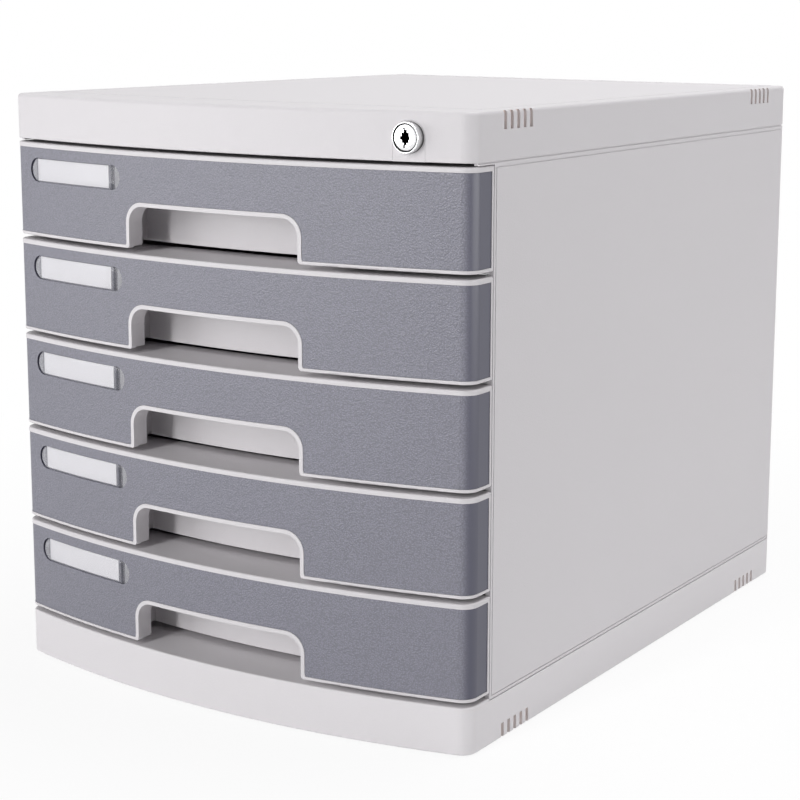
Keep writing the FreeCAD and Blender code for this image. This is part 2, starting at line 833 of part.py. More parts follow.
def lock_cam():
    """Cam plate on the plug's neck, with the pin that drives the bar."""
    disc = rod(lock_x, lock_z, cam_front, cam_rear, 2 * cam_radius)
    ear = rod(cam_pin_x, cam_pin_z, cam_front, cam_rear, cam_pin_diameter + 2 * cam_pin_wall)
    pin = rod(cam_pin_x, cam_pin_z, cam_front, cam_rear + cam_pin_length, cam_pin_diameter)
    hole = rod(lock_x, lock_z, cam_front - beyond, cam_rear + beyond, cam_neck_diameter)
    return cut(fuse([disc, ear, pin]), [hole])


def cam_screw():
    head = rod(lock_x, lock_z, cam_rear, cam_rear + cam_screw_head_height, cam_screw_head_diameter)
    half_slot = cam_screw_slot / 2
    slot = box(lock_x - cam_neck_diameter, lock_x + cam_neck_diameter, cam_rear + cam_screw_head_height / 2,
               cam_rear + 2 * cam_screw_head_height, lock_z - half_slot, lock_z + half_slot)
    return cut(head, [slot])


def lock_bar():
    """Bar with a leg down the right side, a peg above each drawer's catch and an arm to the cam."""
    arm_bottom = cam_pin_z - bar_arm_height / 2
    arm_top = cam_pin_z + bar_arm_height / 2
    slot_radius = cam_pin_diameter / 2 + bar_slot_clearance
    slot_left = cam_pin_x - slot_radius
    slot_right = lock_x + cam_throw + slot_radius
    arm_left = slot_left - slot_radius
    leg_bottom = first_front + peg_bottom
    solids = [
        box(bar_inner, bar_outer, bar_front, bar_rear, leg_bottom, arm_top),
        box(arm_left, bar_outer, bar_front, bar_front + bar_arm_thickness, arm_bottom, arm_top),
    ]
    for index in range(drawer_count):
        z = first_front + index * drawer_pitch + peg_bottom
        solids.append(box(peg_inner, bar_outer, bar_front, bar_rear, z, z + peg_height))
    slot = box(slot_left, slot_right, bar_front - beyond, bar_front + bar_arm_thickness + beyond,
               cam_pin_z - slot_radius, cam_pin_z + slot_radius)
    return cut(fuse(solids), [slot])


def lock_bar_guides():
    """Brackets on the right panel that keep the bar's leg upright."""
    guides = []
    front = bar_front - guide_clearance - guide_wall
    rear = bar_rear + guide_clearance + guide_wall
    inner = bar_inner - guide_clearance - guide_wall
    for index in guide_drawers:
        z = first_front + index * drawer_pitch + guide_above_front
        bracket = box(inner, panel_inner, front, rear, z, z + guide_height)
        channel = box(bar_inner - guide_clearance, panel_inner + beyond, bar_front - guide_clearance,
                      bar_rear + guide_clearance, z - beyond, z + guide_height + beyond)
        guides.append(cut(bracket, [channel]))
    return Part.makeCompound(guides)


# ---------------------------------------------------------------- write the nodes
def write(name, shape):
    shape.exportStep("parts/" + name + ".step")
    print(name, "solids", len(shape.Solids), "valid", shape.isValid(), "volume", round(shape.Volume))


def main():
    os.makedirs("parts", exist_ok=True)
    right_panel = side_panel()
    write("base", base())
    write("rubber_feet", rubber_feet())
    write("base_screws", base_screws())
    write("side_panel_right", right_panel)
    write("side_panel_left", mirrored(right_panel))
    write("back_panel", back_panel())
    write("top_cover", top_cover())
    write("lock_insert", lock_insert())
    write("lock_housing", lock_housing())
    write("lock_clip", lock_clip())
    write("lock_plug", lock_plug())
    write("lock_cam", lock_cam())
    write("cam_screw", cam_screw())
    write("lock_bar", lock_bar())
    write("lock_bar_guides", lock_bar_guides())
    pieces = {
        "tray": tray(),
        "front": bezel(),
        "facia": facia(),
        "label_card": label_card(),
        "label_window": label_window(),
    }
    for index in range(drawer_count):
        number = drawer_count - index
        for name, shape in pieces.items():
            placed = shape.copy()
            placed.translate(V(0, 0, first_front + index * drawer_pitch))
            write("drawer_" + str(number) + "_" + name, placed)


main()
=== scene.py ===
# %% [markdown]
# # A desktop file drawer, dressed for its picture
#
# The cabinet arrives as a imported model: 40 solid parts on eight bodies, at their real size in metres.
# Those parts already fit and move, so nothing here shifts or scales them. This script adds the finish
# of each plastic, card and metal, and models the few small pieces whose shape matters more to the eye
# than to the fit: the key plug with its jagged keyway and the clear windows over the label cards.

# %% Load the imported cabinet
import json
import math

import bpy
from mathutils import Matrix, Vector


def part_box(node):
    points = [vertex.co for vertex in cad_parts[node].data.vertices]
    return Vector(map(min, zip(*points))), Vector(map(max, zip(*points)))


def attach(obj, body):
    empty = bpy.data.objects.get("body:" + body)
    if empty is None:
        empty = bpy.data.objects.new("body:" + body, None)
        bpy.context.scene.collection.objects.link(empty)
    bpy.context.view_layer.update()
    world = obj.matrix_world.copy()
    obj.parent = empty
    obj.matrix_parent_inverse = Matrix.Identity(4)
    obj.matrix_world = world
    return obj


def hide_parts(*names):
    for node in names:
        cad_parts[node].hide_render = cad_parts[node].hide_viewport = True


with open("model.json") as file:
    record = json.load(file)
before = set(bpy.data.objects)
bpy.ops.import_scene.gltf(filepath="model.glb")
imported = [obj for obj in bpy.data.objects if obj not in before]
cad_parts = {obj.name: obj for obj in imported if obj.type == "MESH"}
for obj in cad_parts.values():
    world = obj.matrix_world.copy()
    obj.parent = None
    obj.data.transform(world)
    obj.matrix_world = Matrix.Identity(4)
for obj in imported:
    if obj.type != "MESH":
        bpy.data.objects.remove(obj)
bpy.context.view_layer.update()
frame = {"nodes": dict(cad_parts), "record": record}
nodes = frame["nodes"]

# %% [markdown]
# Sizes are easiest to read in millimetres, while Blender works in metres here. One small value turns
# one into the other. The drawer count and the places of parts come from the frame itself, so the
# pieces made below stay where the cabinet has its openings. The cabinet's front is bowed, so anything
# that lies on it needs the depth of that bow at its place.

# %% Sizes shared by the pieces
MM = 0.001
DRAWERS = [number for number in range(1, 6) if "drawer_%d_front" % number in nodes]
FRONT_BOW = 17.0 * MM
HALF_WIDTH = (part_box("top_cover")[1][0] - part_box("top_cover")[0][0]) / 2
FRONT_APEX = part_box("top_cover")[0][1]
BOW_RADIUS = (HALF_WIDTH ** 2 + FRONT_BOW ** 2) / (2 * FRONT_BOW)


def bow_y(x, inset=0.0):
    """Y of the bowed front at x, on the curve that lies this far inside it."""
    return FRONT_APEX + BOW_RADIUS - math.sqrt((BOW_RADIUS - inset) ** 2 - x ** 2)


print("drawers", DRAWERS, "bow radius %.1f mm" % (BOW_RADIUS / MM))

# %% [markdown]
# ## Camera
#
# A product picture of a box like this is taken with a long lens from a little above the desk and
# a third of the way round to the side, so its upright edges stay nearly parallel. The camera is set
# by the point it looks at, its two angles, a hair of roll and its distance, because each of these can
# be judged on its own. The shift slides the picture without turning the camera.

# %% Camera
CAMERA_TARGET = Vector((0.0177, 0.01273, 0.14811))
CAMERA_AZIMUTH = math.radians(31.8975)
CAMERA_ELEVATION = math.radians(10.1636)
CAMERA_ROLL = math.radians(0.4014)
CAMERA_DISTANCE = 1.0111
CAMERA_LENS = 85.6423
CAMERA_SENSOR = 36.0
CAMERA_SHIFT = (-0.0745, -0.0695)


def direction(azimuth, elevation):
    """Unit vector at these angles: azimuth from the front, with the right side positive."""
    return Vector((
        math.sin(azimuth) * math.cos(elevation),
        -math.cos(azimuth) * math.cos(elevation),
        math.sin(elevation),
    ))


def make_camera():
    back = direction(CAMERA_AZIMUTH, CAMERA_ELEVATION)
    right = Vector((math.cos(CAMERA_AZIMUTH), math.sin(CAMERA_AZIMUTH), 0.0))
    up = back.cross(right)
    rolled_right = right * math.cos(CAMERA_ROLL) + up * math.sin(CAMERA_ROLL)
    rolled_up = up * math.cos(CAMERA_ROLL) - right * math.sin(CAMERA_ROLL)
    turn = Matrix((rolled_right, rolled_up, back)).transposed().to_4x4()
    place = Matrix.Translation(CAMERA_TARGET + back * CAMERA_DISTANCE)
    data = bpy.data.cameras.new("camera")
    data.lens = CAMERA_LENS
    data.sensor_width = CAMERA_SENSOR
    data.shift_x, data.shift_y = CAMERA_SHIFT
    camera = bpy.data.objects.new("camera", data)
    camera.matrix_world = place @ turn
    bpy.context.scene.collection.objects.link(camera)
    bpy.context.scene.camera = camera
    return camera


camera = make_camera()
print("camera at", [round(c, 3) for c in camera.matrix_world.translation])

# %% [markdown]
# ## Light
#
# The main lamp is a tall, narrow strip box in front, a little to the left. Being narrow, it throws a
# clear upright shadow edge inside each finger pull, and being tall, it also lights the ledges there.
# A low box from further left gives the grey fronts their sheen, another hangs overhead at the back,
# and a low one at the right lights the long side panel. A dim even room fills in the rest. Together
# they light a surface that faces the front or the top by about one, so a color renders about as it
# is written.

# %% Studio lamps
FILL = 0.06
LAMPS = [
    # name, azimuth from the front (right is positive), elevation, distance, width, height, watts
    ("key_strip", -5.5, 22.0, 2.6, 0.28, 2.2, 33.0),
    ("front_softbox", -42.0, 3.0, 2.4, 1.5, 0.76, 15.5),
    ("top_softbox", 150.0, 72.0, 1.9, 1.5, 1.2, 27.5),
    ("side_softbox", 95.0, -2.0, 1.5, 1.4, 0.9, 9.5),
]


def add_lamp(name, azimuth, elevation, distance, width, height, watts):
    toward = direction(math.radians(azimuth), math.radians(elevation))
    data = bpy.data.lights.new(name, "AREA")
    data.shape = "RECTANGLE"
    data.size = width
    data.size_y = height
    data.energy = watts
    lamp = bpy.data.objects.new(name, data)
    lamp.location = CAMERA_TARGET + toward * distance
    lamp.rotation_euler = toward.to_track_quat("Z", "Y").to_euler()
    bpy.context.scene.collection.objects.link(lamp)
    return lamp


for lamp_values in LAMPS:
    add_lamp(*lamp_values)
print(len(LAMPS), "softboxes")

# %% [markdown]
# ## Short ways to wire a shader
#
# A material is a tree of nodes, and written out in full each node takes many lines. Most nodes here
# do one small sum: they blend two colors, or turn one range of numbers into another. Each of these
# helpers adds one such node, feeds it plain values or the sockets of other nodes, and gives back the
# socket to go on from. So a material below reads in the order in which its look is built up.

# %% Helpers for node trees
def add_node(tree, kind, settings=None, inputs=None):
    """Add a node with these settings, and set each of these inputs to its value or wire its socket."""
    node = tree.nodes.new(kind)
    for name, value in (settings or {}).items():
        setattr(node, name, value)
    for name, value in (inputs or {}).items():
        if isinstance(value, bpy.types.NodeSocket):
            tree.links.new(value, node.inputs[name])
        else:
            node.inputs[name].default_value = value
    return node


def do_math(tree, operation, first, second=0.0, third=0.0):
    inputs = {0: first, 1: second, 2: third}
    return add_node(tree, "ShaderNodeMath", {"operation": operation}, inputs).outputs[0]


def map_range(tree, value, source, target=(0.0, 1.0), kind="LINEAR"):
    """Turn a value that runs through the source range into one that runs through the target range."""
    inputs = {
        "Value": value,
        "From Min": source[0],
        "From Max": source[1],
        "To Min": target[0],
        "To Max": target[1],
    }
    return add_node(tree, "ShaderNodeMapRange", {"interpolation_type": kind}, inputs).outputs["Result"]


def mix_colors(tree, share, first, second):
    inputs = {"Factor": share, 6: first, 7: second}
    return add_node(tree, "ShaderNodeMix", {"data_type": "RGBA"}, inputs).outputs[2]


def mix_values(tree, share, first, second):
    return add_node(tree, "ShaderNodeMix", inputs={"Factor": share, 2: first, 3: second}).outputs[0]


def coordinates(tree, kind="Object"):
    """Places on the object, or with Normal the way its surface faces, both in its own axes."""
    return add_node(tree, "ShaderNodeTexCoord").outputs[kind]


def along(tree, vector, axis):
    return add_node(tree, "ShaderNodeSeparateXYZ", inputs={0: vector}).outputs[axis]


def attribute(tree, name):
    """A number that is stored on the mesh under this name."""
    return add_node(tree, "ShaderNodeAttribute", {"attribute_name": name}).outputs["Fac"]


print("node helpers ready")

# %% [markdown]
# ## Room
#
# A white studio looks white to the lens, but as a lamp it would wash out every shadow. So the world
# has two faces. The lens, and anything seen in chrome or through clear plastic, gets plain white,
# while the light that falls on matt surfaces is only the dim fill. The light path tells the two
# apart. The view transform is Standard, so a color that is written comes out unchanged.

# %% World
SEEN_COLOR = (1.0, 1.0, 1.0, 1.0)
FILL_COLOR = (1.0, 0.99, 1.0, 1.0)


def seen_by_lens(tree):
    """One for rays from the lens and for those it sends on by gloss or through glass, else nought."""
    path = add_node(tree, "ShaderNodeLightPath")
    seen = do_math(tree, "MAXIMUM", path.outputs["Is Camera Ray"], path.outputs["Is Glossy Ray"])
    return do_math(tree, "MAXIMUM", seen, path.outputs["Is Transmission Ray"])


def make_world():
    world = bpy.data.worlds.new("studio")
    bpy.context.scene.world = world
    world.use_nodes = True
    tree = world.node_tree
    tree.nodes.clear()
    seen = add_node(tree, "ShaderNodeBackground", inputs={"Color": SEEN_COLOR})
    lit = add_node(tree, "ShaderNodeBackground", inputs={"Color": FILL_COLOR, "Strength": FILL})
    mix = add_node(tree, "ShaderNodeMixShader", inputs={
        0: seen_by_lens(tree), 1: lit.outputs[0], 2: seen.outputs[0],
    })
    add_node(tree, "ShaderNodeOutputWorld", inputs={"Surface": mix.outputs[0]})


make_world()
bpy.context.scene.view_settings.view_transform = "Standard"
print("an even fill of", FILL)

# %% [markdown]
# ## Floor
#
# The floor is a plain pale sweep. Near the cabinet a small part of it is a real matt surface, which
# takes the soft shadow, and the rest is a plain white glow that only the lens and reflections see, as
# on a sweep lit by itself. Further out it fades into the white of the room, so no horizon shows.

# %% Floor
FLOOR_SIZE = 8.0
FLOOR_COLOR = (0.93, 0.93, 0.935, 1.0)
FLOOR_ROUGHNESS = 0.9
FLOOR_SHEEN = 0.1
FADE_START = 0.15
FADE_END = 0.60
GLOW_NEAR = 0.9


def floor_material():
    material = bpy.data.materials.new("floor_sweep")
    material.use_nodes = True
    tree = material.node_tree
    shader = tree.nodes["Principled BSDF"]
    shader.inputs["Base Color"].default_value = FLOOR_COLOR
    shader.inputs["Roughness"].default_value = FLOOR_ROUGHNESS
    shader.inputs["Specular IOR Level"].default_value = FLOOR_SHEEN
    glow = add_node(tree, "ShaderNodeEmission")
    length = add_node(tree, "ShaderNodeVectorMath", {"operation": "LENGTH"}, {0: coordinates(tree)})
    fade = map_range(
        tree, length.outputs["Value"], (FADE_START, FADE_END), (GLOW_NEAR, 1.0), "SMOOTHSTEP")
    share = do_math(tree, "MULTIPLY", fade, seen_by_lens(tree))
    mix = add_node(tree, "ShaderNodeMixShader", inputs={0: share, 1: shader.outputs[0], 2: glow.outputs[0]})
    tree.links.new(mix.outputs[0], tree.nodes["Material Output"].inputs["Surface"])
    return material


bpy.ops.object.select_all(action="DESELECT")
bpy.ops.mesh.primitive_plane_add(size=FLOOR_SIZE, location=(0.0, 0.0, 0.0))
floor = bpy.context.object
floor.name = "floor"
floor.data.materials.append(floor_material())
print("floor", FLOOR_SIZE, "m across")

# %% [markdown]
# ## Grain that both plastics share
#
# A moulding tool is etched, so even smooth looking plastic has a fine pebble on it. Two layers make
# it: rounded cells, like leather seen from afar, and a finer noise that breaks them up. It is built
# once as a node group, and each plastic sets its own scale. The group gives a height for the bump,
# a slow, cloudy tone that keeps a large panel from looking like one flat color, and the pebble on
# its own, for a plastic whose pebbles differ a little in tone as well.

# %% Grain node group
CELL_SMOOTHNESS = 0.6
FINE_SHARE = 0.55
CLOUD_SCALE = 14.0


def new_group(name, inputs, outputs):
    """An empty node group that takes a vector and these values, and gives these values."""
    group = bpy.data.node_groups.new(name, "ShaderNodeTree")
    group.interface.new_socket("Vector", in_out="INPUT", socket_type="NodeSocketVector")
    for socket in inputs:
        group.interface.new_socket(socket, in_out="INPUT", socket_type="NodeSocketFloat")
    for socket in outputs:
        group.interface.new_socket(socket, in_out="OUTPUT", socket_type="NodeSocketFloat")
    return group


def make_grain_group():
    group = new_group("moulded_grain", ["Cell Scale", "Fine Scale"], ["Height", "Cloud", "Pebble"])
    start = add_node(group, "NodeGroupInput").outputs
    cells = add_node(group, "ShaderNodeTexVoronoi", {"feature": "SMOOTH_F1"}, {
        "Vector": start["Vector"], "Scale": start["Cell Scale"], "Smoothness": CELL_SMOOTHNESS,
    }).outputs["Distance"]
    fine = add_node(group, "ShaderNodeTexNoise", inputs={
        "Vector": start["Vector"], "Scale": start["Fine Scale"], "Detail": 3.0,
    }).outputs["Fac"]
    cloud = add_node(group, "ShaderNodeTexNoise", inputs={
        "Vector": start["Vector"], "Scale": CLOUD_SCALE, "Detail": 2.0,
    }).outputs["Fac"]
    height = do_math(group, "MULTIPLY_ADD", fine, FINE_SHARE, cells)
    add_node(group, "NodeGroupOutput", inputs={"Height": height, "Cloud": cloud, "Pebble": cells})
    return group


grain_group = make_grain_group()
print("grain group ready")

# %% [markdown]
# ## A helper for plastics
#
# Every plastic here is a Principled shader whose color drifts a little with the cloud, whose gloss
# drifts with it, and whose surface carries the grain as a bump. The plain numbers sit straight on the
# shader, and only what varies is wired.

# %% Moulded plastic material
PLASTIC_IOR = 1.5
PEBBLE_RANGE = (0.1, 0.6)


def new_material(name):
    material = bpy.data.materials.new(name)
    material.use_nodes = True
    return material, material.node_tree, material.node_tree.nodes["Principled BSDF"]


def drifting_color(tree, share, color, drift):
    """A color that runs from a little darker to a little lighter as share goes from nought to one."""
    darker = [c * (1.0 - drift) for c in color] + [1.0]
    lighter = [min(1.0, c * (1.0 + drift)) for c in color] + [1.0]
    return mix_colors(tree, share, darker, lighter)


def moulded_plastic(name, color, drift, gloss, cells, fine, depth, sheen=0.5, speckle=0.0):
    """color is linear; cells and fine are grain sizes and depth its height, in metres."""
    material, tree, shader = new_material(name)
    shader.inputs["IOR"].default_value = PLASTIC_IOR
    shader.inputs["Specular IOR Level"].default_value = sheen
    grain = add_node(tree, "ShaderNodeGroup", {"node_tree": grain_group}, {
        "Vector": coordinates(tree), "Cell Scale": 1.0 / cells, "Fine Scale": 1.0 / fine,
    }).outputs
    tint = drifting_color(tree, grain["Cloud"], color, drift)
    pebble = map_range(tree, grain["Pebble"], PEBBLE_RANGE, (1.0 + speckle, 1.0 - speckle))
    tone = add_node(tree, "ShaderNodeVectorMath", {"operation": "SCALE"}, {0: tint, "Scale": pebble})
    polish = map_range(tree, grain["Cloud"], (0.0, 1.0), gloss)
    bump = add_node(tree, "ShaderNodeBump", inputs={
        "Strength": 1.0, "Distance": depth, "Height": grain["Height"],
    })
    tree.links.new(tone.outputs[0], shader.inputs["Base Color"])
    tree.links.new(polish, shader.inputs["Roughness"])
    tree.links.new(bump.outputs["Normal"], shader.inputs["Normal"])
    return material


print("plastics share an index of refraction of", PLASTIC_IOR)

# %% [markdown]
# ## Changes on part of a surface
#
# Some finishes change from place to place on one moulding. The etched grain of the grey facia stops
# where the mould turns to the side, and that side gets a darker color as painted shade, a painted
# reflection of the dark gap beside it. In the shallow vents, the warm tone of light bouncing from wall
# to wall is painted on as bounce light. Painting over what a material already has, through a mask,
# does this without a second material on the same part.

# %% Painting over a material through a mask
def paint_over(material, mask, color, roughness=None):
    """Where the mask is one, the material takes this color and roughness in place of its own."""
    tree = material.node_tree
    shader = tree.nodes["Principled BSDF"]
    before = shader.inputs["Base Color"].links[0].from_socket
    tree.links.new(mix_colors(tree, mask, before, (*color, 1.0)), shader.inputs["Base Color"])
    if roughness is not None:
        before = shader.inputs["Roughness"].links[0].from_socket
        tree.links.new(mix_values(tree, mask, before, roughness), shader.inputs["Roughness"])


print("a mask can now change a color and a gloss")

# %% Smooth sides with painted shade
SIDE_STARTS = 0.42
SIDE_FULL = 0.90
SIDE_PAINTED_SHADE_COLOR = (0.030, 0.030, 0.066)
SIDE_ROUGHNESS = 0.34


def smooth_sides_with_painted_shade(material):
    """Where the surface faces sideways, fade out the grain, change the gloss and paint a darker color as
    painted shade.
    """
    tree = material.node_tree
    sideways = do_math(tree, "ABSOLUTE", along(tree, coordinates(tree, "Normal"), "X"))
    side = map_range(tree, sideways, (SIDE_STARTS, SIDE_FULL), kind="SMOOTHSTEP")
    bump = tree.nodes["Principled BSDF"].inputs["Normal"].links[0].from_node
    tree.links.new(do_math(tree, "SUBTRACT", 1.0, side), bump.inputs["Strength"])
    # Painted shade: the sideways faces take a much darker color.
    paint_over(material, side, SIDE_PAINTED_SHADE_COLOR, SIDE_ROUGHNESS)


print("grain fades from a sideways facing of", SIDE_STARTS, "to", SIDE_FULL)

# %% Painted bounce light in the vents
VENT_STARTS = 0.2 * MM
VENT_FULL = 0.4 * MM
VENT_REACH = 2.0 * MM
VENT_FACING = 0.97
VENT_BOUNCE_LIGHT_COLOR = (0.90, 0.71, 0.61)


def paint_vent_bounce_light(material, side_x):
    """Paint warm bounce light on the floors of the shallow vents in the outer sides, which stand this far
    from the middle.
    """
    tree = material.node_tree
    across = do_math(tree, "ABSOLUTE", along(tree, coordinates(tree), "X"))
    sunk = map_range(tree, across, (side_x - VENT_STARTS, side_x - VENT_FULL))
    near = do_math(tree, "GREATER_THAN", across, side_x - VENT_REACH)
    sideways = do_math(tree, "ABSOLUTE", along(tree, coordinates(tree, "Normal"), "X"))
    flat = do_math(tree, "GREATER_THAN", sideways, VENT_FACING)
    inside = do_math(tree, "MULTIPLY", do_math(tree, "MULTIPLY", sunk, near), flat)
    # Painted bounce light: the vent floors take a warm color.
    paint_over(material, inside, VENT_BOUNCE_LIGHT_COLOR)


print("vents count as such from %.1f mm deep" % (VENT_FULL / MM))

# %% [markdown]
# ## The plastics and the rubber
#
# The housing is a pale grey polystyrene with a grain so fine that it only dulls the gloss. The base
# and the trays take a lighter copy of it, as painted light where the lamps leave them darker. The
# base and the trays come from other tools and are a hair lighter. The facias are a bluish grey with
# a coarser, leathery grain whose pebbles catch the light one by one. The feet are black rubber.

# %% Plastics
HOUSING_FINISH = {
    "drift": 0.012, "gloss": (0.46, 0.56), "cells": 0.75 * MM, "fine": 0.3 * MM, "depth": 0.04 * MM,
}
white_plastic = moulded_plastic("white_plastic", color=(0.690, 0.668, 0.688), **HOUSING_FINISH)
# A lighter copy of the housing plastic: painted light for the base and the trays.
painted_light_plastic = moulded_plastic("painted_light_plastic", color=(0.750, 0.727, 0.746), **HOUSING_FINISH)
grey_plastic = moulded_plastic(
    "grey_plastic", color=(0.163, 0.162, 0.208), drift=0.05, gloss=(0.38, 0.44),
    cells=0.70 * MM, fine=0.3 * MM, depth=0.16 * MM, sheen=1.0, speckle=0.21)
rubber = moulded_plastic(
    "rubber", color=(0.022, 0.022, 0.023), drift=0.15, gloss=(0.70, 0.88),
    cells=0.8 * MM, fine=0.3 * MM, depth=0.04 * MM)
cover_plastic = white_plastic.copy()
cover_plastic.name = "cover_plastic"
base_plastic = painted_light_plastic.copy()
base_plastic.name = "base_plastic"
for vented_plastic in (cover_plastic, base_plastic):
    paint_vent_bounce_light(vented_plastic, HALF_WIDTH)
smooth_sides_with_painted_shade(grey_plastic)
print("plastics", white_plastic.name, painted_light_plastic.name, grey_plastic.name, rubber.name)

# %% [markdown]
# ## Marks that hard, smooth things pick up
#
# Chrome, plated steel and clear plastic have no grain, and what the eye sees on them is what handling
# leaves: fine streaks along one direction and soft patches where the polish is a little duller. Both
# are noises read in stretched or plain object space. The group gives them as two masks, and each
# material decides how much of them it takes into its color, its roughness and its bump.

# %% Handling marks node group
STREAK_STRETCH = (0.06, 1.0, 1.0)


def make_marks_group():
    group = new_group("handling_marks", ["Streak Scale", "Patch Scale"], ["Streaks", "Patches"])
    start = add_node(group, "NodeGroupInput").outputs
    stretch = add_node(group, "ShaderNodeVectorMath", {"operation": "MULTIPLY"}, {
        0: start["Vector"], 1: STREAK_STRETCH,
    })
    streaks = add_node(group, "ShaderNodeTexNoise", inputs={
        "Vector": stretch.outputs["Vector"], "Scale": start["Streak Scale"], "Detail": 4.0,
    }).outputs["Fac"]
    patches = add_node(group, "ShaderNodeTexNoise", inputs={
        "Vector": start["Vector"], "Scale": start["Patch Scale"], "Detail": 2.0,
    }).outputs["Fac"]
    add_node(group, "NodeGroupOutput", inputs={"Streaks": streaks, "Patches": patches})
    return group


marks_group = make_marks_group()
print("marks group ready")

# %% [markdown]
# ## Card and metals
#
# One helper serves them all, because they differ only in numbers. Card is matt and bright, with marks
# that read as paper fibre. Chrome is a mirror with faint rubbing marks. The steel of the screws, the
# clip and the lock bar is zinc plated, duller and more uneven.

# %% Card, chrome and steel
PATCH_RANGE = (0.3, 0.7)


def marked_material(name, color, drift, gloss, streak, patch, depth, metallic=0.0):
    """color is linear; streak and patch are sizes of the marks and depth their height, in metres."""
    material, tree, shader = new_material(name)
    shader.inputs["Metallic"].default_value = metallic
    marks = add_node(tree, "ShaderNodeGroup", {"node_tree": marks_group}, {
        "Vector": coordinates(tree), "Streak Scale": 1.0 / streak, "Patch Scale": 1.0 / patch,
    }).outputs
    tint = drifting_color(tree, marks["Streaks"], color, drift)
    polish = map_range(tree, marks["Patches"], PATCH_RANGE, gloss)
    bump = add_node(tree, "ShaderNodeBump", inputs={"Distance": depth, "Height": marks["Streaks"]})
    tree.links.new(tint, shader.inputs["Base Color"])
    tree.links.new(polish, shader.inputs["Roughness"])
    tree.links.new(bump.outputs["Normal"], shader.inputs["Normal"])
    return material


card = marked_material(
    "card", color=(0.80, 0.79, 0.82), drift=0.02, gloss=(0.55, 0.70),
    streak=0.25 * MM, patch=6.0 * MM, depth=0.01 * MM)
chrome = marked_material(
    "chrome", color=(0.86, 0.86, 0.87), drift=0.03, gloss=(0.08, 0.20),
    streak=0.12 * MM, patch=2.5 * MM, depth=0.002 * MM, metallic=1.0)
steel = marked_material(
    "steel", color=(0.55, 0.55, 0.56), drift=0.10, gloss=(0.25, 0.42),
    streak=0.20 * MM, patch=4.0 * MM, depth=0.006 * MM, metallic=1.0)
print("also", card.name, chrome.name, steel.name)

# %% [markdown]
# ## Clear plastic with frosted pads
#
# The label windows are clear where the card shows and frosted at the pads. Both are the same plastic,
# so one material serves: a value called frost, stored on the mesh, says how much the surface
# scatters. Where it is nought the plastic is nearly invisible, and where it is one it looks milky and
# dull. A second value called shade paints shade on the strip beside the card: it turns the plastic
# dark and less clear there, as painted shade for the deep end of the pocket.

# %% Clear plastic
CLEAR_ALPHA = 0.10
FROSTED_ALPHA = 0.70
FROSTED_DULLNESS = 0.3
SHADED_ALPHA = 0.28
SHADED_COLOR = (0.05, 0.05, 0.07)


def make_clear_plastic():
    material = marked_material(
        "clear_plastic", color=(0.66, 0.66, 0.69), drift=0.04, gloss=(0.10, 0.18),
        streak=0.15 * MM, patch=5.0 * MM, depth=0.002 * MM)
    tree = material.node_tree
    shader = tree.nodes["Principled BSDF"]
    frost = attribute(tree, "frost")
    shade = attribute(tree, "shade")
    cover = map_range(tree, frost, (0.0, 1.0), (CLEAR_ALPHA, FROSTED_ALPHA))
    alpha = do_math(tree, "MULTIPLY_ADD", shade, SHADED_ALPHA, cover)
    polish = shader.inputs["Roughness"].links[0].from_socket
    dull = do_math(tree, "MULTIPLY_ADD", frost, FROSTED_DULLNESS, polish)
    tree.links.new(alpha, shader.inputs["Alpha"])
    tree.links.new(dull, shader.inputs["Roughness"])
    paint_over(material, shade, SHADED_COLOR)
    return material


clear_plastic = make_clear_plastic()
print("clear plastic", CLEAR_ALPHA, "to", FROSTED_ALPHA)

# %% [markdown]
# ## Chrome with a painted dark end
#
# The lock's chrome is bright where it is buffed. Towards its seat in the cover the barrel gets a
# painted reflection of the dark gap round it, and behind the plug's face the keyway and the groove get
# painted shade. Both are the same chrome with a painted dark end, which starts at a place along the
# lock's axis.

# %% Chrome with a painted dark end
BARREL_BRIGHT = 1.0 * MM
BARREL_SEAT_SHADE_COLOR = (0.03, 0.028, 0.028)
DARK_ROUGHNESS = 0.6


def chrome_with_painted_shade(name, starts, full, color):
    """Chrome with painted shade, which turns to this dark, dull color between these two places along Y."""
    material = chrome.copy()
    material.name = name
    tree = material.node_tree
    depth = map_range(tree, along(tree, coordinates(tree), "Y"), (starts, full), kind="SMOOTHSTEP")
    paint_over(material, depth, color, DARK_ROUGHNESS)
    return material


barrel_low, barrel_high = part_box("lock_housing")
barrel_seat = bow_y(barrel_high[0])
# Painted reflection of the dark gap round the barrel, towards its seat.
barrel_shaded_chrome = chrome_with_painted_shade(
    "barrel_shaded_chrome", barrel_low[1] + BARREL_BRIGHT, barrel_seat, BARREL_SEAT_SHADE_COLOR)
print("barrel stands out by %.1f mm at its seat" % ((barrel_seat - barrel_low[1]) / MM))

# %% [markdown]
# ## Dressing the cabinet
#
# The record says which finish each part has, by the name of a material slot, so most parts simply
# take the material of that name. A few take a close relative of it: the vented mouldings with painted
# bounce light in their vents, the base and the trays with a lighter copy as painted light, and the
# barrel of the lock with a painted reflection of the dark gap at its seat. Filling the slots a part
# already has leaves its mesh untouched.

# %% Dress the cabinet's own parts
SLOT_MATERIALS = {
    "white_plastic": white_plastic,
    "grey_plastic": grey_plastic,
    "card": card,
    "clear_plastic": clear_plastic,
    "chrome": chrome,
    "steel": steel,
    "rubber": rubber,
}
